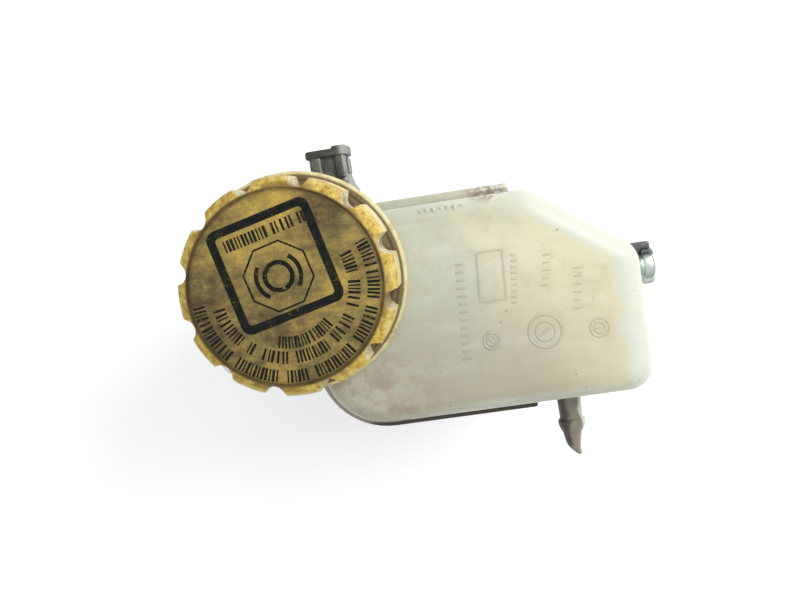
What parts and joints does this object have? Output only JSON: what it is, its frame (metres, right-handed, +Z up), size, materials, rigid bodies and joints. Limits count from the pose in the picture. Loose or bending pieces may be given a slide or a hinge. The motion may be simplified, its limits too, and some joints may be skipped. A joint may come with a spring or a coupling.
{
  "type": "brake master cylinder",
  "caption": "Tandem brake master cylinder with a translucent fluid reservoir, a yellow screw cap, a fluid level sensor and a flange for the brake booster.",
  "frame": {"origin": "centre of the mounting flange's rear face, on the bore axis", "axes": "+X along the bore from the flange to the nose, +Y to the level sensor's side, +Z up to the filler cap"},
  "size_m": [0.1475, 0.0995, 0.1145],
  "materials": {
    "cast_aluminium": "as cast, with machined faces",
    "machined_metal": "fine turned",
    "spring_steel": "drawn wire",
    "zinc_plate": "zinc plated",
    "seal_rubber": "moulded",
    "guide_plastic": "moulded, glass filled",
    "tank_plastic": "translucent natural, aged",
    "strainer_plastic": "natural",
    "cap_plastic": "yellow, worn",
    "float_plastic": "moulded",
    "magnet": "ferrite",
    "sensor_plastic": "moulded, dusty",
    "contact_brass": "tinned"
  },
  "bodies": {
    "cylinder": {"cylinder_body": "cast_aluminium", "guide_bush": "guide_plastic", "stem_seal": "seal_rubber", "circlip": "spring_steel", "pilot_o_ring": "seal_rubber", "rear_seal": "seal_rubber", "primary_pressure_seal": "seal_rubber", "separating_seal": "seal_rubber", "secondary_pressure_seal": "seal_rubber", "secondary_spring": "spring_steel", "rear_grommet": "seal_rubber", "front_grommet": "seal_rubber", "reservoir_lower": "tank_plastic", "reservoir_upper": "tank_plastic", "reservoir_pin": "zinc_plate", "filler_strainer": "strainer_plastic", "level_sensor": "sensor_plastic", "sensor_terminals": "contact_brass", "sensor_gasket": "seal_rubber"},
    "primary_piston": {"primary_piston": "machined_metal", "cage_screw": "zinc_plate"},
    "secondary_piston": {"secondary_piston": "machined_metal", "cage_sleeve": "zinc_plate", "primary_spring": "spring_steel"},
    "cap_diaphragm": {"cap_diaphragm": "seal_rubber"},
    "filler_cap": {"filler_cap": "cap_plastic"},
    "level_float": {"level_float": "float_plastic", "float_magnet": "magnet"}
  },
  "joints": [
    {"name": "primary_push", "type": "slide", "parent": "cylinder", "child": "primary_piston", "axis": [1, 0, 0], "range_m": [0, 0.02], "stiffness_N_per_m": 2500, "springref_m": -0.02, "deforming": ["primary_spring"]},
    {"name": "secondary_push", "type": "slide", "parent": "cylinder", "child": "secondary_piston", "axis": [1, 0, 0], "range_m": [0, 0.0105], "deforming": ["secondary_spring"]},
    {"name": "cap_lift", "type": "slide", "parent": "cylinder", "child": "cap_diaphragm", "axis": [0, 0, 1], "range_m": [0, 0.018]},
    {"name": "cap_turn", "type": "hinge", "parent": "cap_diaphragm", "child": "filler_cap", "pos_m": [0.0264, 0.0141, 0.06], "axis": [0, 0, 1], "range_deg": [0, 1080]},
    {"name": "float_rise", "type": "slide", "parent": "cylinder", "child": "level_float", "axis": [0, 0, 1], "range_m": [0, 0.006]}
  ],
  "couplings": [
    {"joint": "secondary_push", "follows": "primary_push", "ratio": 0.52},
    {"joint": "cap_turn", "follows": "cap_lift", "rad_per_m": 1047.2}
  ]
}
